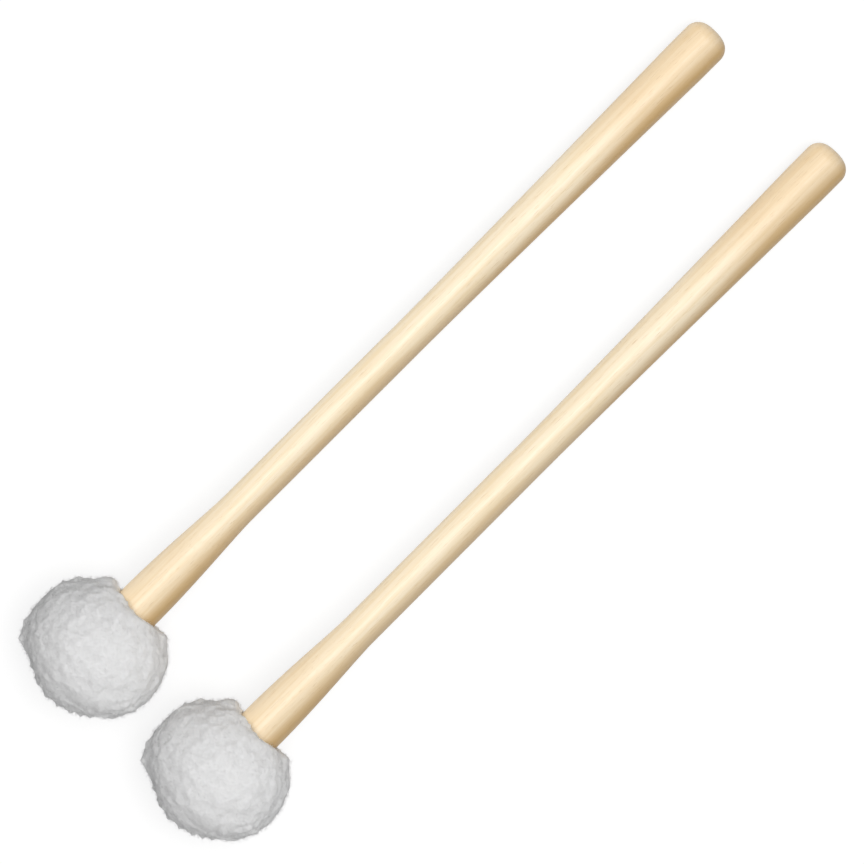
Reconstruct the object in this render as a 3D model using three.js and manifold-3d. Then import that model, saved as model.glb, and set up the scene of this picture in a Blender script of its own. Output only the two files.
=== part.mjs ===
// A pair of marching bass drum mallets, lying side by side on a flat surface.
//
// Each mallet has a turned hickory shaft. It tapers from the butt to a slim waist, flares to a collar, and ends in
// a square shoulder with a tenon. The tenon is glued into a turned hardwood core, and a wood screw with a washer
// pulls the core on from the front. Wool felt pads the core: a band round its side and a domed pad over the screw.
// A long-pile fleece cover goes over the felt. A wound cord gathers its hem on the tenon, between the shoulder and
// the core, and the pile laps over the end of the shaft. The fleece is flat where the mallet's weight rests on it.
//
// Lengths are in millimetres, with +Z up, +X towards the heads and z = 0 on the surface that the pair lies on.
// Each mallet is drawn along its own +X axis, which starts at the centre of its butt face, and is then tilted until
// its head and its butt both touch the surface. Along that axis a place is called a station.

import * as THREE from "three";
import { mergeVertices } from "three/addons/utils/BufferGeometryUtils.js";
import Module from "manifold-3d";

const wasm = await Module();
wasm.setup();

// Fits
const seatGap = 0.3; // glue line or slack between two pieces that meet
const cutOverrun = 2; // how far a cutter runs past the surface that it cuts

// Shaft, from the butt face towards the head
const buttDiameter = 19;
const buttEdgeRadius = 6.2;
const gripLength = 17;
const taperLength = 158;
const waistDiameter = 14.6;
const waistLength = 95;
const flareLength = 55;
const collarDiameter = 19.3;
const collarLength = 4;
const collarEdgeRadius = 0.8;
const tenonDiameter = 9.5;

// Cord that gathers the cover on the tenon
const cordDiameter = 1.1;
const cordTurns = 3;
const cordPitch = 1.6;

// Core, with a recess in its front for the washer and the screw head
const coreDiameter = 28;
const coreLength = 24;
const coreEdgeRadius = 2.5;

// Screw and washer
const washerDiameter = 15;
const washerThickness = 1.2;
const screwShankDiameter = 4.2;
const screwShankLength = 22;
const screwPointLength = 4;
const screwHeadDiameter = 8;
const screwHeadHeight = 2.6;
const screwRecessWidth = 1.2;
const screwRecessLength = 4.6;
const screwRecessDepth = 1.5;
const tenonSetback = 0.6; // how far the tenon ends short of the washer's seat, so that the screw clamps the core

// Felt, turned to a ball with the same centre as the cover
const feltThickness = 6.7; // where the ball is widest

// Fleece cover: a ball, a little flatter at the nose, with a flat rear face and a soft lip round the shaft
const fleeceThickness = 8.5; // the pile and its backing, round the felt
const noseFleeceThickness = 6.2; // the same over the nose, where the pile is pressed shorter
const coverSetback = 21.7; // from the shaft's shoulder to the widest station
const coverLap = 3.5; // how far the pile covers the end of the shaft
const coverLipRadius = 3;
const clothThickness = 1.2; // the cover's cloth where the cord gathers it, with its pile pressed flat
const lumpHeight = 0.7; // gentle tufts in the pile
const lumpLength = 15; // from one tuft to the next
const lumpFade = 6; // the tufts grow to full height over this distance from the mouth
const restDent = 0.8; // how deep the surface presses into the pile under the head

// The pair
const pairSpacing = 68.6; // between the two axes

// Facets
const shaftSides = 28;
const headSides = 28;
const smallSides = 16;
const arcSteps = 6;
const curveSteps = 8;
const coverSteps = 7;
const liningSteps = 12;
const feltSteps = 6;
const cordSides = 6;
const cordStepsPerTurn = 20;

const buttRadius = buttDiameter / 2;
const waistRadius = waistDiameter / 2;
const collarRadius = collarDiameter / 2;
const tenonRadius = tenonDiameter / 2;
const coreRadius = coreDiameter / 2;
const cordRadius = cordDiameter / 2;
const washerRadius = washerDiameter / 2;
const shankRadius = screwShankDiameter / 2;
const screwHeadRadius = screwHeadDiameter / 2;

// Stations along the shaft
const waistStart = gripLength + taperLength;
const flareStart = waistStart + waistLength;
const flareEnd = flareStart + flareLength;
const shoulder = flareEnd + collarLength;

// The neck, where the cord winds on the gathered hem
const windingLength = cordTurns * cordPitch + cordDiameter;
const hemStart = shoulder + seatGap;
const windingStart = hemStart + seatGap;
const chamberEnd = windingStart + windingLength + seatGap;
const webEnd = chamberEnd + clothThickness;
const hemInnerRadius = tenonRadius + seatGap;
const hemOuterRadius = hemInnerRadius + clothThickness;
const windingRadius = hemOuterRadius + seatGap + cordRadius;
const chamberRadius = windingRadius + cordRadius + seatGap;
const mouthRadius = collarRadius + seatGap;

// The core and what holds it
const coreStart = webEnd + seatGap;
const coreEnd = coreStart + coreLength;
const recessRadius = washerRadius + seatGap;
const recessDepth = 3 * seatGap + washerThickness + screwHeadHeight;
const washerSeat = coreEnd - recessDepth;
const washerStart = washerSeat + seatGap;
const screwHeadStart = washerStart + washerThickness + seatGap;
const tenonEnd = washerSeat - tenonSetback;
const screwTip = screwHeadStart - screwShankLength;
const pilotRadius = shankRadius + seatGap;

// The padded head
const headCentre = shoulder + coverSetback;
const padStart = coreEnd + seatGap;
const feltInnerRadius = coreRadius + seatGap;
const feltRadius = feltInnerRadius + feltThickness;
const coverInnerRadius = feltRadius + seatGap;
const coverRadius = coverInnerRadius + fleeceThickness;
const coverNoseReach = coverInnerRadius + noseFleeceThickness; // from the widest station to the nose
const coverRear = shoulder - coverLap;
const overallLength = headCentre + coverNoseReach;

// The radius of a ball round the head's centre, at a station
function ballRadiusAt(station, radius) {
  return Math.sqrt(Math.max(0, radius ** 2 - (station - headCentre) ** 2));
}

// Points [station, radius] on an ellipse, from one angle to another. Angle 0 points towards the nose.
function arc(station, radius, reach, height, from, to, steps) {
  return Array.from({ length: steps + 1 }, (_, i) => {
    const angle = from + ((to - from) * i) / steps;
    return [station + reach * Math.cos(angle), radius + height * Math.sin(angle)];
  });
}

// The part of a ball round the head's centre that lies between two stations, as an arc
function ballArc(radius, fromStation, toStation, steps) {
  const angleAt = (station) => Math.acos(THREE.MathUtils.clamp((station - headCentre) / radius, -1, 1));
  return arc(headCentre, 0, radius, radius, angleAt(fromStation), angleAt(toStation), steps);
}

// Points [station, radius] on a smooth curve through the given control points
function bezier(controls, steps) {
  const [a, b, c, d] = controls.map(([station, radius]) => new THREE.Vector2(station, radius));
  const curve = d ? new THREE.CubicBezierCurve(a, b, c, d) : new THREE.QuadraticBezierCurve(a, b, c);
  return curve.getPoints(steps).map((point) => [point.x, point.y]);
}

// A solid of revolution about the +X axis. The profile runs from the rear to the front along its outside.
function turned(profile, sides) {
  const points = profile
    .filter(([x, r], i) => i === 0 || x !== profile[i - 1][0] || r !== profile[i - 1][1])
    .map(([station, radius]) => new THREE.Vector2(Math.max(0, radius), station));
  return new THREE.LatheGeometry(points, sides).rotateZ(-Math.PI / 2);
}

// A ring's profile ends where it began
const closed = (profile) => [...profile, profile[0]];

function solidOf(geometry) {
  const bare = geometry.clone();
  bare.deleteAttribute("normal");
  bare.deleteAttribute("uv");
  const merged = mergeVertices(bare);
  const mesh = new wasm.Mesh({
    numProp: 3,
    vertProperties: merged.attributes.position.array,
    triVerts: new Uint32Array(merged.index.array),
  });
  return new wasm.Manifold(mesh);
}

function geometryOf(solid) {
  const mesh = solid.getMesh();
  const geometry = new THREE.BufferGeometry();
  geometry.setAttribute("position", new THREE.BufferAttribute(mesh.vertProperties, mesh.numProp));
  geometry.setIndex(new THREE.BufferAttribute(mesh.triVerts, 1));
  geometry.computeVertexNormals();
  return geometry;
}

// Shaft: one piece of hickory from the butt to the end of the tenon, drilled for the screw
function shaftGeometry() {
  // How far along the taper and the flare the curve's handles stand
  const taperHandleShare = 0.78;
  const flareHandleShares = [0.16, 0.6];
  const taper = bezier(
    [
      [gripLength, buttRadius],
      [gripLength + taperHandleShare * taperLength, waistRadius],
      [waistStart, waistRadius],
    ],
    curveSteps,
  );
  const flare = bezier(
    [
      [flareStart, waistRadius],
      [flareStart + flareHandleShares[0] * flareLength, waistRadius],
      [flareStart + flareHandleShares[1] * flareLength, collarRadius],
      [flareEnd, collarRadius],
    ],
    curveSteps,
  );
  const buttEdge = arc(
    buttEdgeRadius,
    buttRadius - buttEdgeRadius,
    buttEdgeRadius,
    buttEdgeRadius,
    Math.PI,
    Math.PI / 2,
    arcSteps,
  );
  const collarEdge = arc(
    shoulder - collarEdgeRadius,
    collarRadius - collarEdgeRadius,
    collarEdgeRadius,
    collarEdgeRadius,
    Math.PI / 2,
    0,
    arcSteps / 2,
  );
  return turned(
    [
      [0, 0],
      ...buttEdge,
      ...taper,
      ...flare,
      ...collarEdge,
      [shoulder, tenonRadius],
      [tenonEnd, tenonRadius],
      [tenonEnd, pilotRadius],
      [screwTip, pilotRadius],
      [screwTip - pilotRadius, 0],
    ],
    shaftSides,
  );
}

// Core: a hardwood barrel with a through bore for the tenon and a recess for the washer
function coreGeometry() {
  const edgeCentreRadius = coreRadius - coreEdgeRadius;
  const edge = (station, from, to) =>
    arc(station, edgeCentreRadius, coreEdgeRadius, coreEdgeRadius, from, to, arcSteps / 2);
  return turned(
    closed([
      [coreStart, hemInnerRadius],
      ...edge(coreStart + coreEdgeRadius, Math.PI, Math.PI / 2),
      ...edge(coreEnd - coreEdgeRadius, Math.PI / 2, 0),
      [coreEnd, recessRadius],
      [washerSeat, recessRadius],
      [washerSeat, hemInnerRadius],
    ]),
    headSides,
  );
}

function washerGeometry() {
  const washerEnd = washerStart + washerThickness;
  return turned(
    closed([
      [washerStart, pilotRadius],
      [washerStart, washerRadius],
      [washerEnd, washerRadius],
      [washerEnd, pilotRadius],
    ]),
    smallSides,
  );
}

// Screw: a domed head with a cross recess, on a plain shank with a point
function screwGeometry() {
  const headEnd = screwHeadStart + screwHeadHeight;
  const body = turned(
    [
      [screwTip, 0],
      [screwTip + screwPointLength, shankRadius],
      [screwHeadStart, shankRadius],
      [screwHeadStart, screwHeadRadius],
      ...arc(screwHeadStart, 0, screwHeadHeight, screwHeadRadius, Math.PI / 2, 0, arcSteps),
    ],
    smallSides,
  );
  const slotHeight = screwRecessDepth + cutOverrun;
  const slot = new THREE.BoxGeometry(slotHeight, screwRecessLength, screwRecessWidth);
  slot.translate(headEnd - screwRecessDepth + slotHeight / 2, 0, 0);
  const crossSlot = slot.clone().rotateX(Math.PI / 2);
  return geometryOf(solidOf(body).subtract(solidOf(slot)).subtract(solidOf(crossSlot)));
}

// Felt band: wool felt glued round the side of the core
function feltBandGeometry() {
  return turned(
    closed([
      [coreStart, feltInnerRadius],
      ...ballArc(feltRadius, coreStart, coreEnd, feltSteps),
      [coreEnd, feltInnerRadius],
    ]),
    headSides,
  );
}

// Felt nose pad: a dome over the front of the core and the screw
function feltPadGeometry() {
  return turned([[padStart, 0], ...ballArc(feltRadius, padStart, headCentre + feltRadius, feltSteps)], headSides);
}

// Cord: one unbroken winding round the gathered hem
class Winding extends THREE.Curve {
  getPoint(share, target = new THREE.Vector3()) {
    const angle = 2 * Math.PI * cordTurns * share;
    const station = windingStart + cordRadius + cordTurns * cordPitch * share;
    return target.set(station, windingRadius * Math.cos(angle), windingRadius * Math.sin(angle));
  }
}

function cordGeometry() {
  const section = new THREE.Shape(
    Array.from({ length: cordSides }, (_, i) => {
      const angle = (2 * Math.PI * i) / cordSides;
      return new THREE.Vector2(cordRadius * Math.cos(angle), cordRadius * Math.sin(angle));
    }),
  );
  const steps = cordTurns * cordStepsPerTurn;
  return new THREE.ExtrudeGeometry(section, { steps, extrudePath: new Winding(), bevelEnabled: false });
}

// The least gap between two turns of the cord, measured on points of its centre line
function leastCordGap() {
  const steps = cordTurns * cordStepsPerTurn;
  const points = new Winding().getPoints(steps);
  let least = Infinity;
  points.forEach((point, i) => {
    for (const other of points.slice(i + cordStepsPerTurn / 2)) least = Math.min(least, point.distanceTo(other));
  });
  return least - cordDiameter;
}

// The mallet's tilt, at which the dented head and the rounded edge of the butt stand on one plane
function lie() {
  const headHeight = coverRadius - restDent;
  const along = headCentre - buttEdgeRadius;
  const across = buttRadius - buttEdgeRadius;
  const tilt =
    Math.asin((headHeight - buttEdgeRadius) / Math.hypot(along, across)) - Math.atan2(across, along);
  return { tilt, buttHeight: headHeight - headCentre * Math.sin(tilt) };
}

// Raises and lowers the outside of the cover in gentle tufts, which fade out round the mouth
function tufted(geometry) {
  const places = geometry.attributes.position;
  const centre = new THREE.Vector3(headCentre, 0, 0);
  const wave = (2 * Math.PI) / lumpLength;
  const midWall = (coverRadius + coverInnerRadius) / 2;
  for (let i = 0; i < places.count; i++) {
    const place = new THREE.Vector3().fromBufferAttribute(places, i);
    const outward = place.clone().sub(centre);
    if (outward.length() < midWall) continue;
    const fromMouth = Math.hypot(place.x - coverRear, Math.hypot(place.y, place.z) - mouthRadius);
    const strength = Math.min(1, fromMouth / lumpFade);
    const { x, y, z } = outward;
    const lump = (Math.sin(wave * (x + y)) + Math.sin(wave * (y - z)) + Math.sin(wave * (z + x))) / 3;
    place.addScaledVector(outward.normalize(), strength * lumpHeight * lump);
    places.setXYZ(i, place.x, place.y, place.z);
  }
  return geometry;
}

// Fleece cover: a thick-walled shell with the gathered hem on the tenon, cut flat where it rests on the surface
function coverGeometry(toSurface) {
  const lipStation = coverRear + coverLipRadius;
  const lipRadius = ballRadiusAt(lipStation, coverRadius - coverLipRadius);
  const lipAngle = Math.atan2(lipRadius, lipStation - headCentre);
  const shell = tufted(
    turned(
      [
        [headCentre + coverInnerRadius, 0],
        ...ballArc(coverInnerRadius, headCentre + coverInnerRadius, webEnd, liningSteps),
        [webEnd, hemInnerRadius],
        [hemStart, hemInnerRadius],
        [hemStart, hemOuterRadius],
        [chamberEnd, hemOuterRadius],
        [chamberEnd, chamberRadius],
        [hemStart, chamberRadius],
        [hemStart, mouthRadius],
        [coverRear, mouthRadius],
        ...arc(lipStation, lipRadius, coverLipRadius, coverLipRadius, Math.PI, lipAngle, arcSteps / 2),
        ...arc(headCentre, 0, coverRadius, coverRadius, lipAngle, Math.PI / 2, coverSteps),
        ...arc(headCentre, 0, coverNoseReach, coverRadius, Math.PI / 2, 0, coverSteps),
      ],
      headSides,
    ),
  );
  const floor = new THREE.BoxGeometry(2 * overallLength, 2 * coverRadius, 2 * coverRadius);
  floor.translate(0, 0, -coverRadius).applyMatrix4(toSurface.clone().invert());
  return geometryOf(solidOf(shell).subtract(solidOf(floor)));
}

const hickory = new THREE.MeshStandardMaterial({ color: "#ecd5a4", roughness: 0.38, metalness: 0 });
const maple = new THREE.MeshStandardMaterial({ color: "#d9b98a", roughness: 0.6, metalness: 0 });
const felt = new THREE.MeshStandardMaterial({ color: "#e6e0d2", roughness: 1, metalness: 0 });
const fleece = new THREE.MeshStandardMaterial({ color: "#e4e4e4", roughness: 1, metalness: 0 });
const waxedThread = new THREE.MeshStandardMaterial({ color: "#b08a5a", roughness: 0.7, metalness: 0 });
const steel = new THREE.MeshStandardMaterial({ color: "#b9bcc0", roughness: 0.35, metalness: 1 });

function mallet(side) {
  const { tilt, buttHeight } = lie();
  const group = new THREE.Group();
  group.position.z = buttHeight;
  group.rotation.y = -tilt;
  group.updateMatrix();
  const pieces = {
    shaft: [shaftGeometry(), hickory],
    head_core: [coreGeometry(), maple],
    clamp_washer: [washerGeometry(), steel],
    clamp_screw: [screwGeometry(), steel],
    felt_band: [feltBandGeometry(), felt],
    felt_nose_pad: [feltPadGeometry(), felt],
    neck_cord: [cordGeometry(), waxedThread],
    fleece_cover: [coverGeometry(group.matrix), fleece],
  };
  for (const [name, [geometry, material]] of Object.entries(pieces)) {
    const mesh = new THREE.Mesh(geometry, material);
    mesh.name = side + "_" + name;
    group.add(mesh);
  }
  group.position.x = (-overallLength * Math.cos(tilt)) / 2;
  return group;
}

// The pair lies with the origin under its middle, and the left mallet on the +Y side
const left = mallet("left");
const right = mallet("right");
left.position.y = pairSpacing / 2;
right.position.y = -pairSpacing / 2;
console.log("least gap between two turns of the cord: " + leastCordGap().toFixed(2) + " mm");

const pair = new THREE.Group();
pair.add(left, right);

export default pair;
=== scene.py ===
"""A pair of marching bass drum mallets: lacquered hickory shafts with round, fleece-covered heads.

Each mallet is modelled along its own axis, from the centre of its butt face towards its nose. It is then laid
down so that its head and the rounded edge of its butt both touch the table. Lengths are in metres.
"""

import math
import random

import bpy
from mathutils import Matrix, Vector
from mathutils.kdtree import KDTree


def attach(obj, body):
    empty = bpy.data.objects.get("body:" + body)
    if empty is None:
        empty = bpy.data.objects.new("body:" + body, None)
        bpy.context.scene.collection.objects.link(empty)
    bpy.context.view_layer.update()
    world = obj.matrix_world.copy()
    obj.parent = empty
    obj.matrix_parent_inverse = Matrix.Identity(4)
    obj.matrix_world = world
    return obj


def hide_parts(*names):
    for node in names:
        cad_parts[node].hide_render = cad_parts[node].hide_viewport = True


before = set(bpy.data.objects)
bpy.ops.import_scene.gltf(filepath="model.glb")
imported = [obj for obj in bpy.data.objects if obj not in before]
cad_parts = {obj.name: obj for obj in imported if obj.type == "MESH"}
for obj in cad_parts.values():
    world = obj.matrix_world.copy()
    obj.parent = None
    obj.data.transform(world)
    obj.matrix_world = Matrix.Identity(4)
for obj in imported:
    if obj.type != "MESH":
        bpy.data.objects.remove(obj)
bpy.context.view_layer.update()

MM = 0.001

# Fits
FIT = 0.3 * MM
OVERRUN = 2 * MM
SAME_PLACE = 0.001 * MM

# Shaft, from the butt face towards the head
BUTT_RADIUS = 9.5 * MM
BUTT_EDGE = 6.2 * MM
GRIP_LENGTH = 17 * MM
TAPER_LENGTH = 158 * MM
WAIST_RADIUS = 7.3 * MM
WAIST_LENGTH = 95 * MM
FLARE_LENGTH = 55 * MM
COLLAR_RADIUS = 9.65 * MM
COLLAR_LENGTH = 4 * MM
COLLAR_EDGE = 0.8 * MM
TENON_RADIUS = 4.75 * MM
PILOT_RADIUS = 2.4 * MM
TAPER_HANDLE_SHARE = 0.78
FLARE_HANDLE_SHARES = (0.16, 0.6)

WAIST_START = GRIP_LENGTH + TAPER_LENGTH
FLARE_START = WAIST_START + WAIST_LENGTH
FLARE_END = FLARE_START + FLARE_LENGTH
SHOULDER = FLARE_END + COLLAR_LENGTH

# Neck, where the cord winds on the gathered hem
CORD_RADIUS = 0.55 * MM
CORD_TURNS = 3
CORD_PITCH = 1.6 * MM
CLOTH = 1.2 * MM

HEM_START = SHOULDER + FIT
WINDING_START = HEM_START + FIT
CHAMBER_END = WINDING_START + CORD_TURNS * CORD_PITCH + 2 * CORD_RADIUS + FIT
WEB_END = CHAMBER_END + CLOTH
HEM_INNER = TENON_RADIUS + FIT
HEM_OUTER = HEM_INNER + CLOTH
WINDING_RADIUS = HEM_OUTER + FIT + CORD_RADIUS
CHAMBER_RADIUS = WINDING_RADIUS + CORD_RADIUS + FIT
MOUTH_RADIUS = COLLAR_RADIUS + FIT

# Core, washer, screw and felt
CORE_RADIUS = 14 * MM
CORE_LENGTH = 24 * MM
WASHER_THICKNESS = 1.2 * MM
SCREW_HEAD_HEIGHT = 2.6 * MM
SCREW_SHANK_LENGTH = 22 * MM
TENON_SETBACK = 0.6 * MM
FELT_RADIUS = 21 * MM

CORE_START = WEB_END + FIT
CORE_END = CORE_START + CORE_LENGTH
WASHER_SEAT = CORE_END - 3 * FIT - WASHER_THICKNESS - SCREW_HEAD_HEIGHT
TENON_END = WASHER_SEAT - TENON_SETBACK
SCREW_TIP = WASHER_SEAT + 2 * FIT + WASHER_THICKNESS - SCREW_SHANK_LENGTH

# Fleece
HEAD_RADIUS = 29.8 * MM
HEAD_SETBACK = 21.7 * MM
NOSE_REACH = 27.5 * MM
PILE_LAP = 3.5 * MM
REST_DENT = 0.8 * MM
LINING_RADIUS = FELT_RADIUS + FIT

HEAD_CENTRE = SHOULDER + HEAD_SETBACK
COVER_REAR = SHOULDER - PILE_LAP

# The pair
SPACING = 68.6 * MM
OVERALL = HEAD_CENTRE + NOSE_REACH


def lie(side):
    """Where a mallet lies: from its own axis to the table."""
    height = HEAD_RADIUS - REST_DENT
    along, across = HEAD_CENTRE - BUTT_EDGE, BUTT_RADIUS - BUTT_EDGE
    tilt = math.asin((height - BUTT_EDGE) / math.hypot(along, across)) - math.atan2(across, along)
    place = (-OVERALL * math.cos(tilt) / 2, side * SPACING / 2, height - HEAD_CENTRE * math.sin(tilt))
    return Matrix.Translation(place) @ Matrix.Rotation(-tilt, 4, "Y")


SIDES = {"left": lie(1), "right": lie(-1)}


# Modelling helpers


def take(piece):
    """Selects one piece alone, so that the next operators work on it."""
    if bpy.context.mode != "OBJECT":
        bpy.ops.object.mode_set(mode="OBJECT")
    bpy.ops.object.select_all(action="DESELECT")
    piece.select_set(True)
    bpy.context.view_layer.objects.active = piece


def added(name):
    """Names the primitive that was just added, and puts its place into its mesh."""
    piece = bpy.context.object
    piece.name = piece.data.name = name
    bpy.ops.object.transform_apply(location=True, rotation=True, scale=True)
    return piece


def everything(item):
    """A test that each vertex, edge and face passes."""
    return True


def edit(piece, test, operator, kind="VERT", **settings):
    """Runs an edit mode operator on the vertices, edges or faces of a piece that pass the test."""
    take(piece)
    bpy.ops.object.mode_set(mode="EDIT")
    bpy.ops.mesh.select_mode(type=kind)
    bpy.ops.mesh.select_all(action="DESELECT")
    bpy.ops.object.mode_set(mode="OBJECT")
    mesh = piece.data
    items = {"VERT": mesh.vertices, "EDGE": mesh.edges, "FACE": mesh.polygons}[kind]
    for item in items:
        item.select = test(item)
    bpy.ops.object.mode_set(mode="EDIT")
    operator(**settings)
    bpy.ops.object.mode_set(mode="OBJECT")


def stretch(piece, test, shares, centre):
    """Resizes a piece's vertices that pass the test, by a share along each axis and away from a centre."""
    edit(piece, test, bpy.ops.transform.resize, value=shares, center_override=centre)


def soften(piece, test, times):
    """Draws each vertex that passes the test towards its neighbours, so many times."""
    edit(piece, test, bpy.ops.mesh.vertices_smooth, factor=0.5, repeat=times)


def close(piece):
    """Merges a piece's doubles and points its faces outwards."""
    edit(piece, everything, bpy.ops.mesh.remove_doubles, threshold=SAME_PLACE)
    edit(piece, everything, bpy.ops.mesh.normals_make_consistent, inside=False)


def modify(piece, kind, **settings):
    """Adds a modifier, sets it and applies it."""
    take(piece)
    modifier = piece.modifiers.new(kind.title(), kind)
    for key, value in settings.items():
        setattr(modifier, key, value)
    bpy.ops.object.modifier_apply(modifier=modifier.name)


def displaced(piece, kind, strength, middle, **settings):
    """Moves a piece's skin in and out by a texture, and not at all where that has the middle value."""
    texture = bpy.data.textures.new("Relief", kind)
    for key, value in settings.items():
        setattr(texture, key, value)
    modify(piece, "DISPLACE", texture=texture, strength=strength, mid_level=middle, texture_coords="LOCAL")


def arc(station, off_axis, radius, start, end, steps):
    """Points on part of a circle round a centre, with angles in degrees and 0 towards the nose."""
    angles = (math.radians(start + (end - start) * i / steps) for i in range(steps + 1))
    return [(station + radius * math.cos(a), off_axis + radius * math.sin(a)) for a in angles]


def ball_arc(radius, from_station, to_station, steps):
    """The part of a ball round the head's centre that lies between two stations."""
    reaches = ((station - HEAD_CENTRE) / radius for station in (from_station, to_station))
    start, end = (math.degrees(math.acos(reach)) for reach in reaches)
    return arc(HEAD_CENTRE, 0, radius, start, end, steps)


def bezier(controls, steps):
    """Points on a smooth curve through three or four control points, by repeated halving of its hull."""
    points = []
    for i in range(steps + 1):
        row, t = [Vector(c) for c in controls], i / steps
        while len(row) > 1:
            row = [a.lerp(b, t) for a, b in zip(row, row[1:])]
        points.append(tuple(row[0]))
    return points


def turned(name, profile, sides, ring=False):
    """Turns a piece about the axis: a circle is extruded from station to station and resized at each one.

    A ring's profile closes on itself. Any other is covered by a face at each end.
    """
    rings = [*profile, profile[0]] if ring else profile
    station, radius = rings[0]
    bpy.ops.mesh.primitive_circle_add(
        vertices=sides,
        radius=radius,
        fill_type="NOTHING" if ring else "NGON",
        location=(station, 0, 0),
        rotation=(0, math.pi / 2, 0),
    )
    piece = added(name)
    bpy.ops.object.mode_set(mode="EDIT")
    bpy.ops.mesh.select_mode(type="EDGE" if ring else "VERT")
    bpy.ops.mesh.select_all(action="SELECT")
    for next_station, next_radius in rings[1:]:
        step = (next_station - station, 0, 0)
        bpy.ops.mesh.extrude_region_move(TRANSFORM_OT_translate={"value": step})
        grow = next_radius / radius
        bpy.ops.transform.resize(value=(1, grow, grow), center_override=(next_station, 0, 0))
        station, radius = next_station, next_radius
    close(piece)
    return piece


def copied(piece, name):
    """A copy with its own mesh."""
    take(piece)
    bpy.ops.object.duplicate()
    copy = bpy.context.object
    copy.name = copy.data.name = name
    return copy


def smooth(piece, degrees=35):
    """Shades a piece smooth, apart from edges that are sharper than so many degrees."""
    take(piece)
    bpy.ops.object.shade_smooth_by_angle(angle=math.radians(degrees))


def lay(piece, side):
    """Lays a finished piece down on the table with its mallet."""
    take(piece)
    piece.matrix_world = SIDES[side]
    bpy.ops.object.transform_apply(location=True, rotation=True, scale=True)


def dress(piece, material):
    """Gives a piece its one material."""
    piece.data.materials.clear()
    piece.data.materials.append(material)


def finish(piece, material, slot, side, *nodes):
    """Dresses a piece, attaches it to the root and hides the nodes it stands for. Its slot is not used."""
    dress(piece, material)
    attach(piece, "root")
    if nodes:
        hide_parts(*(side + "_" + node for node in nodes))


# Material helpers


def new_material(name):
    material = bpy.data.materials.new(name)
    material.use_nodes = True
    return material, material.node_tree, material.node_tree.nodes["Principled BSDF"]


def feed(tree, node, inputs):
    """Sets or links a node's inputs, by their names or numbers."""
    for key, value in inputs.items():
        if isinstance(value, bpy.types.NodeSocket):
            tree.links.new(value, node.inputs[key])
        else:
            node.inputs[key].default_value = value


def add(tree, kind, inputs=None, **settings):
    """Adds a node, sets its properties and feeds its inputs."""
    node = tree.nodes.new(kind)
    for key, value in settings.items():
        setattr(node, key, value)
    feed(tree, node, inputs or {})
    return node


def maths(tree, operation, a, b=0.0, c=0.0):
    return add(tree, "ShaderNodeMath", {0: a, 1: b, 2: c}, operation=operation).outputs[0]


def blend(tree, share, a, b, kind="MIX"):
    """Mixes two colours."""
    inputs = {0: share, 6: a, 7: b}
    return add(tree, "ShaderNodeMix", inputs, data_type="RGBA", blend_type=kind, clamp_factor=True).outputs[2]


def spread(tree, value, given, wanted=(0, 1)):
    """Maps a value from the given range to the wanted one, and clamps it."""
    ranges = {"From Min": given[0], "From Max": given[1], "To Min": wanted[0], "To Max": wanted[1]}
    return add(tree, "ShaderNodeMapRange", {"Value": value, **ranges}).outputs[0]


def noise(tree, vector, scale, detail=3.0, roughness=0.5, distortion=0.0):
    inputs = {"Vector": vector, "Scale": scale, "Detail": detail, "Roughness": roughness}
    return add(tree, "ShaderNodeTexNoise", {**inputs, "Distortion": distortion}).outputs["Fac"]


def bump(tree, height, strength, distance):
    inputs = {"Height": height, "Strength": strength, "Distance": distance}
    return add(tree, "ShaderNodeBump", inputs).outputs[0]


def split(tree, vector):
    """A vector's three parts, by their letters."""
    return add(tree, "ShaderNodeSeparateXYZ", {0: vector}).outputs


def group(name, inputs, outputs):
    """A shader node group with named sockets. Returns its tree, its inputs' sockets and its output node."""
    tree = bpy.data.node_groups.new(name, "ShaderNodeTree")
    for label, kind in inputs.items():
        tree.interface.new_socket(label, in_out="INPUT", socket_type="NodeSocket" + kind)
    for label, kind in outputs.items():
        tree.interface.new_socket(label, in_out="OUTPUT", socket_type="NodeSocket" + kind)
    return tree, tree.nodes.new("NodeGroupInput").outputs, tree.nodes.new("NodeGroupOutput")


def use(tree, node_group, inputs):
    """Places a node group in a material with its own values."""
    return add(tree, "ShaderNodeGroup", inputs, node_tree=node_group).outputs


def along_mallet(tree, side):
    """A piece's own place in its mallet's frame, so that a pattern follows the mallet's axis."""
    back = SIDES[side].inverted()
    place = add(tree, "ShaderNodeTexCoord").outputs["Object"]
    inputs = {"Vector": place, "Location": back.translation, "Rotation": back.to_euler()}
    return add(tree, "ShaderNodeMapping", inputs).outputs[0]


WHITE = (1, 1, 1, 1)


# Wood

# How far to one side the pith lies, how the grain slopes, and how far the rings wander
PITH_DISTANCE = 46 * MM
GRAIN_SLOPE = 0.012
RING_WANDER = 6 * MM

# Patterns of the grain: their repeats in a metre along and across it, and the noise's detail and roughness
DRIFT = ((7, 34, 34), 2, 0.5)
FIBRE = ((16, 760, 760), 3, 0.6)
THREAD = ((60, 2600, 2600), 2, 0.6)
BROAD = ((24, 210, 210), 2, 0.5)
PORES = ((150, 4200, 4200), 1, 0.5)
HEART_AND_SHADE_EDGE = ((9, 110, 110), 3, 0.5)

# Which part of a ring or a noise shows, and how strongly
LATE_RISE = (0.35, 0.95)
LATE_FALL = (1, 0.95)
LATE_SHADE = 0.5
FIBRE_RANGE = (0.42, 0.72)
FIBRE_SHADE = (0, 0.55)
BROAD_RANGE = (0.4, 0.7)
BROAD_SHADE = (0, 0.5)
THREAD_RANGE = (0.5, 0.75)
THREAD_SHADE = (0, 0.3)
PORE_RANGE = (0.66, 0.74)
PORE_SHADE = 0.5
FIBRE_HEIGHT = 0.4
PORE_DEPTH = 0.6
GLOSS_RANGE = (0.3, 0.8)
WOOD_ROUGHNESS = (0.42, 0.52)
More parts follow.
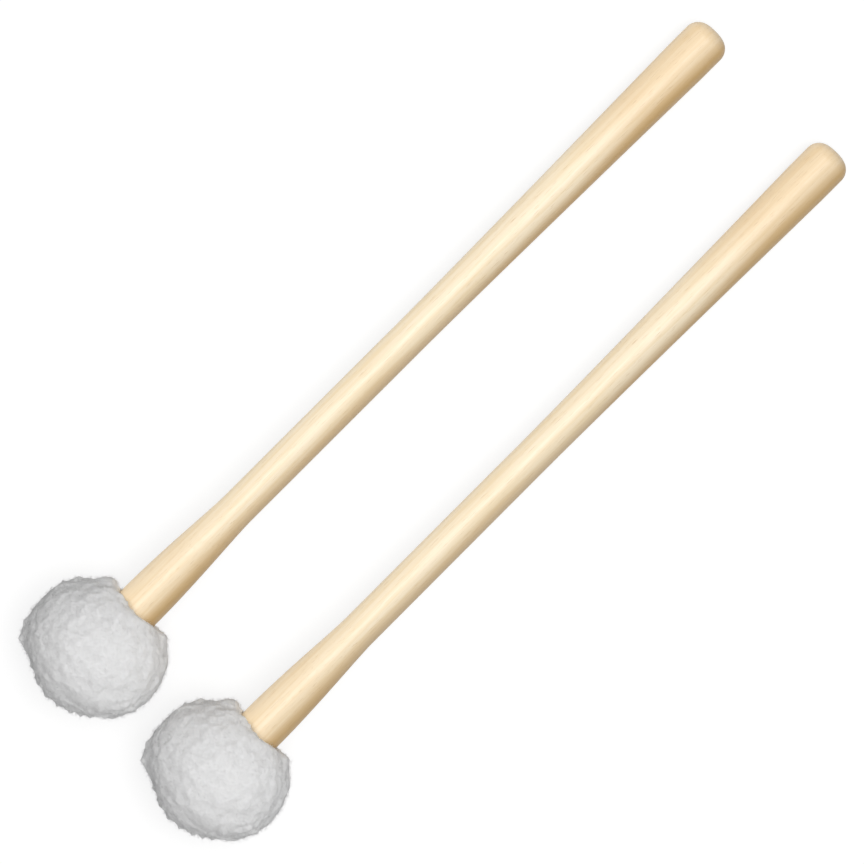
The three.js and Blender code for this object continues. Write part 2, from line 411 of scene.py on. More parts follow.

# A heartwood band that is also painted shade on the mallet's +Y side, the side of each lying shaft away from
# the lamps, starts so far to one side of the axis, along a wavering edge
HEART_AND_SHADE_RANGE = (6.6 * MM, 10.8 * MM)
HEART_AND_SHADE_WANDER = 6 * MM


def pattern(tree, place, repeats, detail, roughness):
    """A noise that is drawn out along the grain."""
    stretched = add(tree, "ShaderNodeMapping", {"Vector": place, "Scale": repeats}).outputs[0]
    return noise(tree, stretched, 1, detail, roughness)


def make_grain():
    """Straight-grained wood along +X: growth rings, fibres and short pores, with a heartwood band on one side
    that is also painted shade.
    """
    colours = dict.fromkeys(("Pale", "Tan", "Heart And Shade", "Pore", "Tone"), "Color")
    numbers = {"Ring Spacing": "Float", "Figure": "Float"}
    outputs = {"Color": "Color", "Roughness": "Float", "Height": "Float"}
    tree, given, out = group("Wood grain", {"Vector": "Vector", **colours, **numbers}, outputs)
    place = given["Vector"]
    parts = split(tree, place)

    pith = maths(tree, "ADD", parts["Y"], PITH_DISTANCE)
    slant = maths(tree, "MULTIPLY_ADD", parts["X"], GRAIN_SLOPE, parts["Z"])
    squares = maths(tree, "MULTIPLY_ADD", slant, slant, maths(tree, "MULTIPLY", pith, pith))
    radius = maths(tree, "SQRT", squares)
    wander = maths(tree, "MULTIPLY_ADD", pattern(tree, place, *DRIFT), RING_WANDER, radius)
    turn = maths(tree, "FRACT", maths(tree, "DIVIDE", wander, given["Ring Spacing"]))
    late = maths(tree, "MULTIPLY", spread(tree, turn, LATE_RISE), spread(tree, turn, LATE_FALL))

    fibre = pattern(tree, place, *FIBRE)
    thread = pattern(tree, place, *THREAD)
    broad = spread(tree, pattern(tree, place, *BROAD), BROAD_RANGE, BROAD_SHADE)
    pore = spread(tree, pattern(tree, place, *PORES), PORE_RANGE)
    fine = maths(tree, "MULTIPLY_ADD", late, LATE_SHADE, spread(tree, fibre, FIBRE_RANGE, FIBRE_SHADE))
    figure = maths(tree, "MULTIPLY", maths(tree, "ADD", fine, broad), given["Figure"])
    colour = blend(tree, figure, given["Pale"], given["Tan"])
    colour = blend(tree, spread(tree, thread, THREAD_RANGE, THREAD_SHADE), colour, given["Tan"])

    # Painted shade and heartwood: a brown band on the +Y side, the side of the shaft away from the lamps
    edge = maths(tree, "MULTIPLY_ADD", pattern(tree, place, *HEART_AND_SHADE_EDGE), HEART_AND_SHADE_WANDER, parts["Y"])
    colour = blend(tree, 1, colour, given["Tone"], "MULTIPLY")
    colour = blend(tree, spread(tree, edge, HEART_AND_SHADE_RANGE), colour, given["Heart And Shade"])
    colour = blend(tree, maths(tree, "MULTIPLY", pore, PORE_SHADE), colour, given["Pore"])
    depth = maths(tree, "MULTIPLY", pore, PORE_DEPTH)
    height = maths(tree, "SUBTRACT", maths(tree, "MULTIPLY", fibre, FIBRE_HEIGHT), depth)
    roughness = spread(tree, thread, GLOSS_RANGE, WOOD_ROUGHNESS)
    feed(tree, out, {"Color": colour, "Roughness": roughness, "Height": height})
    return tree


# Heart And Shade is heartwood colour that also paints shade on each shaft's +Y side
HICKORY = {
    "Pale": (0.85, 0.73, 0.545, 1),
    "Tan": (0.755, 0.58, 0.325, 1),
    "Heart And Shade": (0.62, 0.405, 0.165, 1),
    "Pore": (0.52, 0.33, 0.15, 1),
    "Ring Spacing": 2.6 * MM,
    "Figure": 0.5,
}
HICKORY_BUMP = (0.12, 0.1 * MM)
HICKORY_GLOSS = 0.8

# The wood is warmer towards the butt, and a little towards the collar
WARM_TONE = (0.94, 0.87, 0.78, 1)
BUTT_TONE_STATIONS = (80 * MM, 45 * MM)
COLLAR_TONE_STATIONS = (265 * MM, 300 * MM)
COLLAR_TONE_SHARES = (0, 0.6)


def make_hickory(side, grain):
    """Hickory under satin lacquer, warmer towards both ends."""
    material, tree, shader = new_material("Hickory " + side)
    place = along_mallet(tree, side)
    station = split(tree, place)["X"]
    butt = spread(tree, station, BUTT_TONE_STATIONS)
    collar = spread(tree, station, COLLAR_TONE_STATIONS, COLLAR_TONE_SHARES)
    tone = blend(tree, maths(tree, "MAXIMUM", butt, collar), WHITE, WARM_TONE)
    made = use(tree, grain, {"Vector": place, "Tone": tone, **HICKORY})
    inputs = {
        "Base Color": made["Color"],
        "Roughness": made["Roughness"],
        "Specular IOR Level": HICKORY_GLOSS,
        "Normal": bump(tree, made["Height"], *HICKORY_BUMP),
    }
    feed(tree, shader, inputs)
    return material


MAPLE = {
    "Pale": (0.74, 0.55, 0.34, 1),
    "Tan": (0.6, 0.41, 0.22, 1),
    "Heart And Shade": (0.55, 0.36, 0.19, 1),
    "Pore": (0.4, 0.25, 0.12, 1),
    "Tone": WHITE,
    "Ring Spacing": 3.4 * MM,
    "Figure": 0.6,
}
MAPLE_BUMP = (0.3, 0.1 * MM)
BARE_RANGE = (0.2, 0.5)
BARE_ROUGHNESS = (0.55, 0.7)


def make_maple(side, grain):
    """Turned maple, without lacquer."""
    material, tree, shader = new_material("Turned maple " + side)
    made = use(tree, grain, {"Vector": along_mallet(tree, side), **MAPLE})
    inputs = {
        "Base Color": made["Color"],
        "Roughness": spread(tree, made["Roughness"], BARE_RANGE, BARE_ROUGHNESS),
        "Normal": bump(tree, made["Height"], *MAPLE_BUMP),
    }
    feed(tree, shader, inputs)
    return material


# Wool

# The range that holds most of a noise's values
NOISE_MIDDLE = (0.35, 0.65)

WOOL_CLUMP_SHADE = (0, 0.65)
WOOL_FIBRE_SHADE = (0, 0.35)
WOOL_FIBRE_CURL = 1.2
WOOL_CLUMP_HEIGHT = 0.4


def make_wool():
    """Wool, as fleece or felt: soft clumps, with fibres that lie every way."""
    numbers = {"Clump Size": "Float", "Fibre Size": "Float"}
    inputs = {"Vector": "Vector", "Light": "Color", "Dark": "Color", **numbers}
    tree, given, out = group("Wool", inputs, {"Color": "Color", "Height": "Float"})
    clumps = maths(tree, "DIVIDE", 1, given["Clump Size"])
    fibres = maths(tree, "DIVIDE", 1, given["Fibre Size"])
    clump = noise(tree, given["Vector"], clumps, detail=2)
    fibre = noise(tree, given["Vector"], fibres, roughness=0.6, distortion=WOOL_FIBRE_CURL)
    clump_shade = spread(tree, clump, NOISE_MIDDLE, WOOL_CLUMP_SHADE)
    fibre_shade = spread(tree, fibre, NOISE_MIDDLE, WOOL_FIBRE_SHADE)
    colour = blend(tree, maths(tree, "ADD", fibre_shade, clump_shade), given["Dark"], given["Light"])
    height = maths(tree, "MULTIPLY_ADD", clump, WOOL_CLUMP_HEIGHT, fibre)
    feed(tree, out, {"Color": colour, "Height": height})
    return tree


FLEECE = {
    "Light": (0.94, 0.94, 0.94, 1),
    "Dark": (0.9, 0.9, 0.9, 1),
    "Clump Size": 5 * MM,
    "Fibre Size": 1.2 * MM,
}
FLEECE_BUMP = (0.15, 0.3 * MM)
FLEECE_GLOW_DEPTH = 2.5 * MM
FELT = {
    "Light": (0.86, 0.82, 0.74, 1),
    "Dark": (0.68, 0.64, 0.55, 1),
    "Clump Size": 9 * MM,
    "Fibre Size": 0.7 * MM,
}
FELT_BUMP = (0.5, 0.2 * MM)
WOOL_SURFACE = {"Roughness": 1, "Specular IOR Level": 0.1}


def make_woollen(name, side, wool, look, relief, surface):
    """A material of the wool group: its look, its bump and the rest of its surface."""
    material, tree, shader = new_material(name + " " + side)
    made = use(tree, wool, {"Vector": along_mallet(tree, side), **look})
    inputs = {"Base Color": made["Color"], "Normal": bump(tree, made["Height"], *relief)}
    feed(tree, shader, {**inputs, **WOOL_SURFACE, **surface})
    return material


def make_fleece(side, wool):
    """Soft pile that light enters."""
    surface = {
        "Sheen Weight": 0.15,
        "Sheen Roughness": 0.6,
        "Subsurface Weight": 1,
        "Subsurface Radius": (1, 1, 1),
        "Subsurface Scale": FLEECE_GLOW_DEPTH,
    }
    return make_woollen("Fleece", side, wool, FLEECE, FLEECE_BUMP, surface)


def make_felt(side, wool):
    return make_woollen("Felt", side, wool, FELT, FELT_BUMP, {"Sheen Weight": 0.3})


# Thread and zinc

# How often a noise repeats in a metre
HAIR_REPEATS = 2600
SOIL_REPEATS = 240
LATHE_REPEATS = 5200
BLOOM_REPEATS = 330

THREAD_DARK = (0.36, 0.2, 0.075, 1)
THREAD_LIGHT = (0.52, 0.34, 0.15, 1)
THREAD_SOIL = (0.2, 0.12, 0.05, 1)
THREAD_BUMP = (0.4, 0.1 * MM)
HAIR_RANGE = (0.3, 0.7)
HAIR_ROUGHNESS = (0.45, 0.75)
SOIL_RANGE = (0.5, 0.75)
SOIL_SHADE = (0, 0.4)


def make_thread(side):
    """Waxed thread: fine hairs, with soil here and there."""
    material, tree, shader = new_material("Waxed thread " + side)
    place = along_mallet(tree, side)
    hair = noise(tree, place, HAIR_REPEATS, roughness=0.6, distortion=0.6)
    soil = noise(tree, place, SOIL_REPEATS, detail=2)
    colour = blend(tree, spread(tree, hair, NOISE_MIDDLE), THREAD_DARK, THREAD_LIGHT)
    colour = blend(tree, spread(tree, soil, SOIL_RANGE, SOIL_SHADE), colour, THREAD_SOIL)
    inputs = {
        "Base Color": colour,
        "Roughness": spread(tree, hair, HAIR_RANGE, HAIR_ROUGHNESS),
        "Normal": bump(tree, hair, *THREAD_BUMP),
    }
    feed(tree, shader, inputs)
    return material


ZINC_BRIGHT = (0.56, 0.57, 0.59, 1)
ZINC_DULL = (0.45, 0.46, 0.47, 1)
ZINC_BUMP = (0.15, 0.03 * MM)
LATHE_RANGE = (0.3, 0.7)
LATHE_ROUGHNESS = (0.24, 0.38)
BLOOM_RANGE = (0.35, 0.7)
BLOOM_ROUGH_RANGE = (0.4, 0.7)
BLOOM_ROUGHNESS = (0, 0.15)


def make_zinc(side):
    """Bright zinc plate: a fine lathe mark round the axis, and a faint cloudy bloom."""
    material, tree, shader = new_material("Zinc plate " + side)
    place = along_mallet(tree, side)
    parts = split(tree, place)
    across = maths(tree, "MULTIPLY", parts["Y"], parts["Y"])
    off_axis = maths(tree, "SQRT", maths(tree, "MULTIPLY_ADD", parts["Z"], parts["Z"], across))
    rings = add(tree, "ShaderNodeCombineXYZ", {0: off_axis, 1: parts["X"]}).outputs[0]
    mark = noise(tree, rings, LATHE_REPEATS, detail=2, roughness=0.6)
    bloom = noise(tree, place, BLOOM_REPEATS)
    rough_mark = spread(tree, mark, LATHE_RANGE, LATHE_ROUGHNESS)
    rough_bloom = spread(tree, bloom, BLOOM_ROUGH_RANGE, BLOOM_ROUGHNESS)
    inputs = {
        "Base Color": blend(tree, spread(tree, bloom, BLOOM_RANGE), ZINC_BRIGHT, ZINC_DULL),
        "Roughness": maths(tree, "ADD", rough_mark, rough_bloom),
        "Metallic": 1,
        "Normal": bump(tree, mark, *ZINC_BUMP),
    }
    feed(tree, shader, inputs)
    return material


# Shafts

SHAFT_SIDES = 96
BUTT_STEPS = 14
TAPER_STEPS = 40
FLARE_STEPS = 28
COLLAR_STEPS = 5


def shaft_profile():
    """The shaft's outline, from the flat of its butt to the bottom of the screw's pilot hole."""
    taper = [
        (GRIP_LENGTH, BUTT_RADIUS),
        (GRIP_LENGTH + TAPER_HANDLE_SHARE * TAPER_LENGTH, WAIST_RADIUS),
        (WAIST_START, WAIST_RADIUS),
    ]
    flare = [
        (FLARE_START, WAIST_RADIUS),
        (FLARE_START + FLARE_HANDLE_SHARES[0] * FLARE_LENGTH, WAIST_RADIUS),
        (FLARE_START + FLARE_HANDLE_SHARES[1] * FLARE_LENGTH, COLLAR_RADIUS),
        (FLARE_END, COLLAR_RADIUS),
    ]
    butt = arc(BUTT_EDGE, BUTT_RADIUS - BUTT_EDGE, BUTT_EDGE, 180, 90, BUTT_STEPS)
    collar = arc(SHOULDER - COLLAR_EDGE, COLLAR_RADIUS - COLLAR_EDGE, COLLAR_EDGE, 90, 0, COLLAR_STEPS)
    tenon = [(SHOULDER, TENON_RADIUS), (TENON_END, TENON_RADIUS)]
    pilot = [(TENON_END, PILOT_RADIUS), (SCREW_TIP, PILOT_RADIUS), (SCREW_TIP - PILOT_RADIUS, 0)]
    return [*butt, *bezier(taper, TAPER_STEPS), *bezier(flare, FLARE_STEPS), *collar, *tenon, *pilot]


def make_shaft(side, material):
    shaft = turned(side + "_hickory_shaft", shaft_profile(), SHAFT_SIDES)
    smooth(shaft)
    lay(shaft, side)
    finish(shaft, material, "hickory", side, "shaft")
    return shaft


# Felt and cord

FELT_SIDES = 96
BAND_STEPS = 28
DOME_STEPS = 20
FELT_RELIEF = 0.5 * MM
FELT_RELIEF_SIZE = 7 * MM

# A dome reaches this share of its radius, and ends in a tiny flat face at its pole
DOME_SHARE = 0.9995


def felted(piece, side, material, node):
    displaced(piece, "CLOUDS", -FELT_RELIEF, 0, noise_scale=FELT_RELIEF_SIZE, noise_depth=2)
    smooth(piece, degrees=50)
    lay(piece, side)
    finish(piece, material, "felt", side, node)


def make_felt_band(side, material):
    inner = CORE_RADIUS + FIT
    outside = ball_arc(FELT_RADIUS, CORE_START, CORE_END, BAND_STEPS)
    profile = [(CORE_START, inner), *outside, (CORE_END, inner)]
    felted(turned(side + "_felt_wrap", profile, FELT_SIDES, ring=True), side, material, "felt_band")


def make_felt_pad(side, material):
    outside = ball_arc(FELT_RADIUS, CORE_END + FIT, HEAD_CENTRE + FELT_RADIUS * DOME_SHARE, DOME_STEPS)
    felted(turned(side + "_felt_dome", outside, FELT_SIDES), side, material, "felt_nose_pad")


PLIES = 3
PLY_RADIUS = CORD_RADIUS / 2
PLY_TWISTS = 14
PLY_STEPS = 8


def make_cord(side, material):
    """Three plies, twisted and wound three times round the gathered hem, with their ends trimmed flush."""
    swing = CORD_RADIUS - PLY_RADIUS
    steps = CORD_TURNS * PLY_TWISTS * PLY_STEPS
    curve = bpy.data.curves.new("winding", "CURVE")
    curve.dimensions = "3D"
    curve.bevel_depth = PLY_RADIUS
    curve.bevel_resolution = 1
    curve.use_fill_caps = True
    for ply in range(PLIES):
        spline = curve.splines.new("POLY")
        spline.points.add(steps)
        for i, point in enumerate(spline.points):
            share = i / steps
            turn = 2 * math.pi * CORD_TURNS * share
            twist = 2 * math.pi * (CORD_TURNS * PLY_TWISTS * share + ply / PLIES)
            radius = WINDING_RADIUS + swing * math.cos(twist)
            station = WINDING_START + CORD_RADIUS + CORD_TURNS * CORD_PITCH * share + swing * math.sin(twist)
            point.co = (station, radius * math.cos(turn), radius * math.sin(turn), 1)
    cord = bpy.data.objects.new(side + "_hem_winding", curve)
    bpy.context.scene.collection.objects.link(cord)
    take(cord)
    bpy.ops.object.convert(target="MESH")
    cord = bpy.context.object
    close(cord)
    smooth(cord, degrees=60)
    lay(cord, side)
    finish(cord, material, "cord", side, "neck_cord")


# Fleece

PILE_RADIUS = 28.15 * MM
PILE_SUBDIVISIONS = 7
PILE_NOSE_SHARE = 0.9
PILE_REAR = 23.9 * MM
PILE_CUP = 1.3 * MM
PILE_REAR_EDGE = 3 * MM
PILE_REAR_SMOOTHING = 24
PILE_SMOOTHING = 5

# The pile's relief: each layer's strength and size
SWELLS = ((1.6 * MM, 9 * MM), (0.9 * MM, 3.2 * MM))
SWELL_MIDDLE = 0.5
TUFTS = (1.1 * MM, 3.2 * MM)
FINE_TUFTS = (0.35 * MM, 1.7 * MM)
TUFT_MIDDLE = 0.4

# Where the head departs from a ball, in millimetres: a spot from its centre, how far round it, and which way.
# Left and right are as seen from the butt.
DEPARTURES = {
    "broad right flank": ((0, -28, 0), 34, (0, -1.3, 0)),
    "left flank": ((6, 28, 0), 22, (0, 0.5, 0)),
    "dip over the shaft": ((-23, 0, 10), 9, (3.2, 0, 0)),
    "right rear corner": ((-22, -15, 2), 8, (-2.4, -0.4, 0)),
    "left rear corner": ((-22, 15, 2), 7, (-1.3, 0.7, 0)),
    "flatter left shoulder of the nose": ((19, 20, 0), 16, (-0.9, -0.9, 0)),
    "flatter right shoulder of the nose": ((23, -14, 0), 12, (-1.0, 0.3, 0)),
    "right corner of the nose": ((17.5, -23.5, -2), 9, (1.5, -1.9, 0)),
    "right flank towards the rear": ((-11, -27, 0), 10, (-0.5, -1.0, 0)),
    "right rear shoulder": ((-17, -23, 0), 7, (-0.6, -0.8, 0)),
    "left rear shoulder": ((-14, 25, 0), 13, (-0.5, 1.2, 0)),
    "right flank towards the nose": ((9, -28, 0), 10, (0.3, -1.1, 0)),
    "hollow in the left flank": ((9, 27, 0), 8, (0, -0.8, 0)),
    "middle of the left flank": ((-4, 28, 0), 9, (-0.1, 0.8, 0)),
    "underside": ((0, 0, -28), 14, (0, 0, -1.5)),
}

# Loose tufts on the head's outline, in millimetres: how far along and across from its centre, and how high
OUTLINE_TUFTS = (
    (23.5, -14, 2.2),
    (25, -10, 2.2),
    (26, -7, 2.0),
    (27, -1.5, 1.8),
    (27, 5, 2.0),
    (24.5, 10.5, 1.3),
    (23, 14.5, 2.4),
    (20.5, 18, 2.3),
    (14.5, 24.5, 1.2),
    (11, 26.5, 1.8),
    (6, 28, 1.2),
    (18, -25, 1.2),
    (11, -29, 1.3),
    (-11, -29, 1.3),
    (-17, -25.5, 1.3),
)
OUTLINE_TUFT_REACH = 2.1

# Small tufts round the nose: how many, within which angle in degrees, and their sizes in millimetres
NUBS = 70
NUB_CONE = 65
NUB_HEIGHT = 8
NUB_REACH = 2.0
NUB_PUSH = (0.1, 0.8)

# Locks that overhang the mouth, with their sizes in millimetres
MOUTH_LOCKS = 17
MOUTH_LOCK_JITTER = 0.4
MOUTH_LOCK_RIM = (MOUTH_RADIUS + OVERRUN / 4) / MM
MOUTH_LOCK_REACH = 2.7
MOUTH_LOCK_PUSH = (0, 2.8)

chance = random.Random(4)


def push(piece, pushes):
    """Pushes the skin round each spot, most at the skin that is nearest and less and less towards the reach.

    Spots, reaches and ways are in millimetres, and spots start from the head's centre.
    """
    vertices = piece.data.vertices
    places = KDTree(len(vertices))
    for vertex in vertices:
        places.insert(vertex.co, vertex.index)
    places.balance()
    for spot, reach, way in pushes:
        nearest = places.find(Vector((HEAD_CENTRE, 0, 0)) + Vector(spot) * MM)[0]
        for _, i, distance in places.find_range(nearest, reach * MM):
            share = 1 - distance / (reach * MM)
            vertices[i].co += Vector(way) * MM * share * share * (3 - 2 * share)


def outline_tufts():
    for along, across, height in OUTLINE_TUFTS:
        spot = Vector((along, across, 0))
        yield spot, OUTLINE_TUFT_REACH, spot.normalized() * height


def nose_nubs():
    for _ in range(NUBS):
        turn = math.radians(chance.uniform(-NUB_CONE, NUB_CONE))
        height = chance.uniform(-NUB_HEIGHT, NUB_HEIGHT)
        flat = math.sqrt((PILE_RADIUS / MM) ** 2 - height**2)
        spot = Vector((flat * math.cos(turn), flat * math.sin(turn), height))
        yield spot, NUB_REACH, spot.normalized() * chance.uniform(*NUB_PUSH)


def mouth_locks():
    for i in range(MOUTH_LOCKS):
        turn = 2 * math.pi * (i + chance.uniform(-MOUTH_LOCK_JITTER, MOUTH_LOCK_JITTER)) / MOUTH_LOCKS
        spot = (-PILE_REAR / MM, MOUTH_LOCK_RIM * math.cos(turn), MOUTH_LOCK_RIM * math.sin(turn))
        yield spot, MOUTH_LOCK_REACH, (-chance.uniform(*MOUTH_LOCK_PUSH), 0, 0)


HOLLOW_SIDES = 64
LINING_STEPS = 24


def make_hollow():
    """The room inside the fleece for the end of the shaft, the cord, the tenon and the felt."""
    lining = ball_arc(LINING_RADIUS, WEB_END, HEAD_CENTRE + LINING_RADIUS * DOME_SHARE, LINING_STEPS)
    profile = [
        (COVER_REAR - 2 * OVERRUN, MOUTH_RADIUS),
        (HEM_START, MOUTH_RADIUS),
        (HEM_START, CHAMBER_RADIUS),
        (CHAMBER_END, CHAMBER_RADIUS),
        (CHAMBER_END, HEM_OUTER),
        (HEM_START, HEM_OUTER),
        (HEM_START, HEM_INNER),
        (WEB_END, HEM_INNER),
        *lining,
    ]
    return turned("hollow", profile, HOLLOW_SIDES)


def shape_ball(pile):
    """Makes a ball flatter at the nose and square at the rear, with a shallow cup round the mouth."""
    rear = HEAD_CENTRE - PILE_REAR

    def in_cup(vertex):
        return vertex.co.x < rear + FIT and math.hypot(vertex.co.y, vertex.co.z) < MOUTH_RADIUS + OVERRUN

    stretch(pile, lambda v: v.co.x > HEAD_CENTRE, (PILE_NOSE_SHARE, 1, 1), (HEAD_CENTRE, 0, 0))
    stretch(pile, lambda v: v.co.x < rear, (0, 1, 1), (rear, 0, 0))
    edit(pile, in_cup, bpy.ops.transform.translate, value=(PILE_CUP, 0, 0))
    soften(pile, lambda v: v.co.x < rear + PILE_REAR_EDGE, PILE_REAR_SMOOTHING)


def make_pile():
    """The pile as one soft, tufted body round its hollow."""
    bpy.ops.mesh.primitive_ico_sphere_add(
        subdivisions=PILE_SUBDIVISIONS, radius=PILE_RADIUS, location=(HEAD_CENTRE, 0, 0)
    )
    pile = added("pile")
    shape_ball(pile)
    push(pile, DEPARTURES.values())
    push(pile, [*outline_tufts(), *nose_nubs(), *mouth_locks()])
    for strength, size in SWELLS:
        displaced(pile, "CLOUDS", strength, SWELL_MIDDLE, noise_scale=size, noise_depth=1)
    displaced(pile, "VORONOI", -TUFTS[0], TUFT_MIDDLE, noise_scale=TUFTS[1])
    soften(pile, everything, PILE_SMOOTHING)
    displaced(pile, "VORONOI", -FINE_TUFTS[0], TUFT_MIDDLE, noise_scale=FINE_TUFTS[1])
    hollow = make_hollow()
    modify(pile, "BOOLEAN", operation="DIFFERENCE", object=hollow, solver="MANIFOLD")
    bpy.data.objects.remove(hollow)
    smooth(pile, degrees=70)
    return pile


# How many points are tried in each square as wide as the gap
SCATTER_TRIES = 4


def scatter(piece, templates, name, gap, seed, lean, sizes):
    """Strews copies of the templates over a piece, a gap apart, as a new piece of its own."""
    tree = bpy.data.node_groups.new(name, "GeometryNodeTree")
    tree.interface.new_socket("Geometry", in_out="INPUT", socket_type="NodeSocketGeometry")
    tree.interface.new_socket("Geometry", in_out="OUTPUT", socket_type="NodeSocketGeometry")
    skin = tree.nodes.new("NodeGroupInput").outputs[0]
    inputs = {"Mesh": skin, "Distance Min": gap, "Density Max": SCATTER_TRIES / gap**2, "Seed": seed}
    points = add(tree, "GeometryNodeDistributePointsOnFaces", inputs, distribute_method="POISSON").outputs
    inputs = {0: (lean[0], 0, 0), 1: (lean[1], 0, 2 * math.pi), "Seed": seed + 1}
    turn = add(tree, "FunctionNodeRandomValue", inputs, data_type="FLOAT_VECTOR").outputs[0]
    inputs = {"Rotation": points["Rotation"], "Rotate By": turn}
    leaning = add(tree, "FunctionNodeRotateRotation", inputs, rotation_space="LOCAL").outputs[0]
    inputs = {2: sizes[0], 3: sizes[1], "Seed": seed + 2}
    size = add(tree, "FunctionNodeRandomValue", inputs, data_type="FLOAT").outputs[1]
    kinds = tree.nodes.new("GeometryNodeGeometryToInstance")
    for template in templates:
        found = add(tree, "GeometryNodeObjectInfo", {"Object": template})
        tree.links.new(found.outputs["Geometry"], kinds.inputs[0])
    inputs = {"Points": points["Points"], "Instance": kinds.outputs[0], "Pick Instance": True}
    copies = add(tree, "GeometryNodeInstanceOnPoints", {**inputs, "Rotation": leaning, "Scale": size})
    real = add(tree, "GeometryNodeRealizeInstances", {"Geometry": copies.outputs[0]})
    tree.links.new(real.outputs[0], tree.nodes.new("NodeGroupOutput").inputs[0])
    strewn = copied(piece, name)
    modifier = strewn.modifiers.new("Scatter", "NODES")
    modifier.node_group = tree
    bpy.ops.object.modifier_apply(modifier=modifier.name)
    return strewn


CURL_ROOT = 0.5 * MM
CURL_CUTS = 4
CURL_SIDES = 3
CURL_TIP_SHARE = 0.4


def make_curl(length, thickness, bend, twist):
    """One lock of wool: a thin tapered strand that is bent round and twisted, with its root at the origin."""
    half = length / 2
    root = thickness / 2
    bpy.ops.mesh.primitive_cone_add(
        vertices=CURL_SIDES,
        radius1=root,
        radius2=root * CURL_TIP_SHARE,
        depth=length,
        location=(0, 0, half - CURL_ROOT),
    )
    lock = added("curl")
    heights = [vertex.co.z for vertex in lock.data.vertices]

    def is_long(edge):
        return abs(heights[edge.vertices[0]] - heights[edge.vertices[1]]) > half

    edit(lock, is_long, bpy.ops.mesh.subdivide, kind="EDGE", number_cuts=CURL_CUTS)
    modify(lock, "SIMPLE_DEFORM", deform_method="BEND", deform_axis="X", angle=math.radians(bend))
    modify(lock, "SIMPLE_DEFORM", deform_method="TWIST", deform_axis="Z", angle=math.radians(twist))
    return lock


CURL_GAP = 1.25 * MM
CURL_SEED = 11
CURL_MOUTH_GAP = 1.5 * MM

# How far a lock leans over, in radians, and how large it is, from least to most
CURL_LEAN = (1.1, 1.5)
CURL_SIZES = (0.6, 0.95)

# Each kind's length and thickness, and how far it bends and twists in degrees
CURL_KINDS = (
    (3.0 * MM, 0.14 * MM, 200, 60),
    (2.6 * MM, 0.13 * MM, 260, -90),
    (3.4 * MM, 0.15 * MM, 140, 120),
)


def make_curls(pile):
    """Locks over the outside of the pile, but not in the hollow."""
    skin = copied(pile, "skin")
    centre = Vector((HEAD_CENTRE, 0, 0))

    def is_inside(face):
        off_axis = math.hypot(face.center.y, face.center.z)
        at_mouth = off_axis < MOUTH_RADIUS + CURL_MOUTH_GAP and face.center.x < HEAD_CENTRE
        return at_mouth or (face.center - centre).length < LINING_RADIUS + OVERRUN

    edit(skin, is_inside, bpy.ops.mesh.delete, kind="FACE", type="FACE")
    templates = [make_curl(*shape) for shape in CURL_KINDS]
    curls = scatter(skin, templates, "curls", CURL_GAP, CURL_SEED, CURL_LEAN, CURL_SIZES)
    smooth(curls, degrees=180)
    for spare in (skin, *templates):
        bpy.data.objects.remove(spare)
    return curls


def make_fleece_cover(side, pile, curls, material):
    """Lays the pile and its locks down, and presses flat what would reach below the table."""
    cover = copied(pile, side + "_fleece")
    locks = copied(curls, side + "_fleece_locks")
    for piece in (cover, locks):
        lay(piece, side)
        stretch(piece, lambda v: v.co.z < 0, (1, 1, 0), (0, 0, 0))
    finish(cover, material, "fleece", side, "fleece_cover")
    finish(locks, material, "fleece", side)
    return cover, locks


# Stage

FLOOR_SIZE = 12
FLOOR_GREY = (0.34, 0.34, 0.34, 1)
FLOOR_GLOW = 0.75
WORLD_LEVEL = 0.35


def is_seen(tree):
    """1 where the camera or a gloss sees a surface, and 0 where it only lights others."""
    path = add(tree, "ShaderNodeLightPath").outputs
    return maths(tree, "MAXIMUM", path["Is Camera Ray"], path["Is Glossy Ray"])


def make_stage():
    """A white table that keeps the mallets' shadows, in a white studio."""
    bpy.ops.mesh.primitive_plane_add(size=FLOOR_SIZE)
    floor = added("floor")
    material, tree, shader = new_material("White table")
    feed(tree, shader, {"Base Color": FLOOR_GREY, "Roughness": 0.9, "Specular IOR Level": 0})
    glow = maths(tree, "MULTIPLY", is_seen(tree), FLOOR_GLOW)
    lift = add(tree, "ShaderNodeEmission", {"Strength": glow})
    both = add(tree, "ShaderNodeAddShader", {0: shader.outputs[0], 1: lift.outputs[0]})
    tree.links.new(both.outputs[0], tree.nodes["Material Output"].inputs["Surface"])
    dress(floor, material)

    world = bpy.data.worlds.new("Studio")
    world.use_nodes = True
    bpy.context.scene.world = world
    tree = world.node_tree
    strength = spread(tree, is_seen(tree), (0, 1), (WORLD_LEVEL, 1))
    feed(tree, tree.nodes["Background"], {"Color": WHITE, "Strength": strength})
    return floor


# In the picture, the butts point to the upper right
PICTURE_RIGHT = Vector((-1, 1, 0)).normalized()
PICTURE_UP = Vector((-1, -1, 0)).normalized()

# Soft boxes: how far right, up and above the table, their sizes across and along the shafts, and their watts
LAMPS = {
    "Head lamp": {"right": 0.36, "up": -0.08, "height": 2.35, "size": (1.4, 1.4), "power": 32},
    "Shaft key": {"right": -0.025, "up": 0.506, "height": 2.37, "size": (1.3, 0.4), "power": 30.5},
    "Upper shaft fill": {"right": -1.2, "up": 1.2, "height": 1.7, "size": (0.9, 0.9), "power": 18.5},
    "Lower shaft fill": {"right": 1.47, "up": -1.47, "height": 1.2, "size": (0.9, 0.9), "power": 7},
}


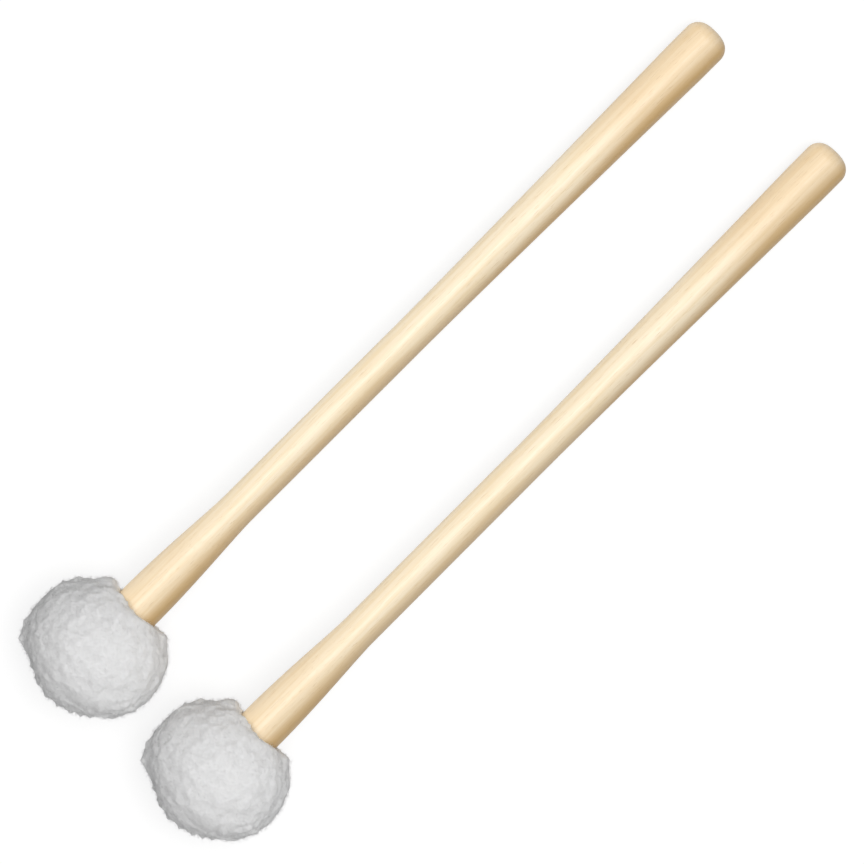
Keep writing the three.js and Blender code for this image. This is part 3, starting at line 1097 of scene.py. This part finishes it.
def make_lamp(name, lit, gloss=False):
    """A soft box that faces the middle of the pair and lights only what it is given.

    It shows in their gloss only where gloss is set.
    """
    values = LAMPS[name]
    lamp = bpy.data.lights.new(name, "AREA")
    lamp.shape = "RECTANGLE"
    lamp.size, lamp.size_y = values["size"]
    lamp.energy = values["power"]
    box = bpy.data.objects.new(name, lamp)
    above = Vector((0, 0, values["height"]))
    place = PICTURE_RIGHT * values["right"] + PICTURE_UP * values["up"] + above
    away = place.normalized()
    along = Vector((0, 1, 0)).cross(away).normalized()
    turn = Matrix((away.cross(along), along, away)).transposed()
    box.matrix_world = Matrix.Translation(place) @ turn.to_4x4()
    bpy.context.scene.collection.objects.link(box)
    receivers = bpy.data.collections.new(name + " lights these")
    for piece in lit:
        receivers.objects.link(piece)
    box.light_linking.receiver_collection = receivers
    box.visible_glossy = gloss


LENS_MM = 200
SENSOR_MM = 36
PICTURE_PIXELS = 864
PIXEL = 0.3994 * MM
PAIR_CENTRE = (442.5, 425.3)
AIM_HEIGHT = 19 * MM


def make_camera():
    """Looks straight down through a long lens, with the pair's centre at its pixel in the picture."""
    data = bpy.data.cameras.new("Camera")
    data.lens = LENS_MM
    data.sensor_width = SENSOR_MM
    camera = bpy.data.objects.new("Camera", data)
    right = (PICTURE_PIXELS / 2 - PAIR_CENTRE[0]) * PIXEL
    up = (PAIR_CENTRE[1] - PICTURE_PIXELS / 2) * PIXEL
    distance = PICTURE_PIXELS * PIXEL * LENS_MM / SENSOR_MM
    aim = PICTURE_RIGHT * right + PICTURE_UP * up + Vector((0, 0, AIM_HEIGHT))
    turn = Matrix((PICTURE_RIGHT, PICTURE_UP, Vector((0, 0, 1)))).transposed()
    camera.matrix_world = Matrix.Translation(aim + Vector((0, 0, distance))) @ turn.to_4x4()
    bpy.context.scene.collection.objects.link(camera)
    bpy.context.scene.camera = camera


make_camera()
floor = make_stage()

grain = make_grain()
wool = make_wool()
pile = make_pile()
curls = make_curls(pile)
shafts = []
heads = []
for side in SIDES:
    shafts.append(make_shaft(side, make_hickory(side, grain)))
    felt = make_felt(side, wool)
    make_felt_band(side, felt)
    make_felt_pad(side, felt)
    make_cord(side, make_thread(side))
    heads.extend(make_fleece_cover(side, pile, curls, make_fleece(side, wool)))
    zinc = make_zinc(side)
    carried = {"head_core": make_maple(side, grain), "clamp_washer": zinc, "clamp_screw": zinc}
    for node, material in carried.items():
        dress(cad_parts[side + "_" + node], material)
for spare in (pile, curls):
    bpy.data.objects.remove(spare)
make_lamp("Head lamp", [*heads, floor], gloss=True)
make_lamp("Shaft key", shafts, gloss=True)
make_lamp("Upper shaft fill", shafts)
make_lamp("Lower shaft fill", shafts)

bpy.context.scene.view_settings.view_transform = "Standard"
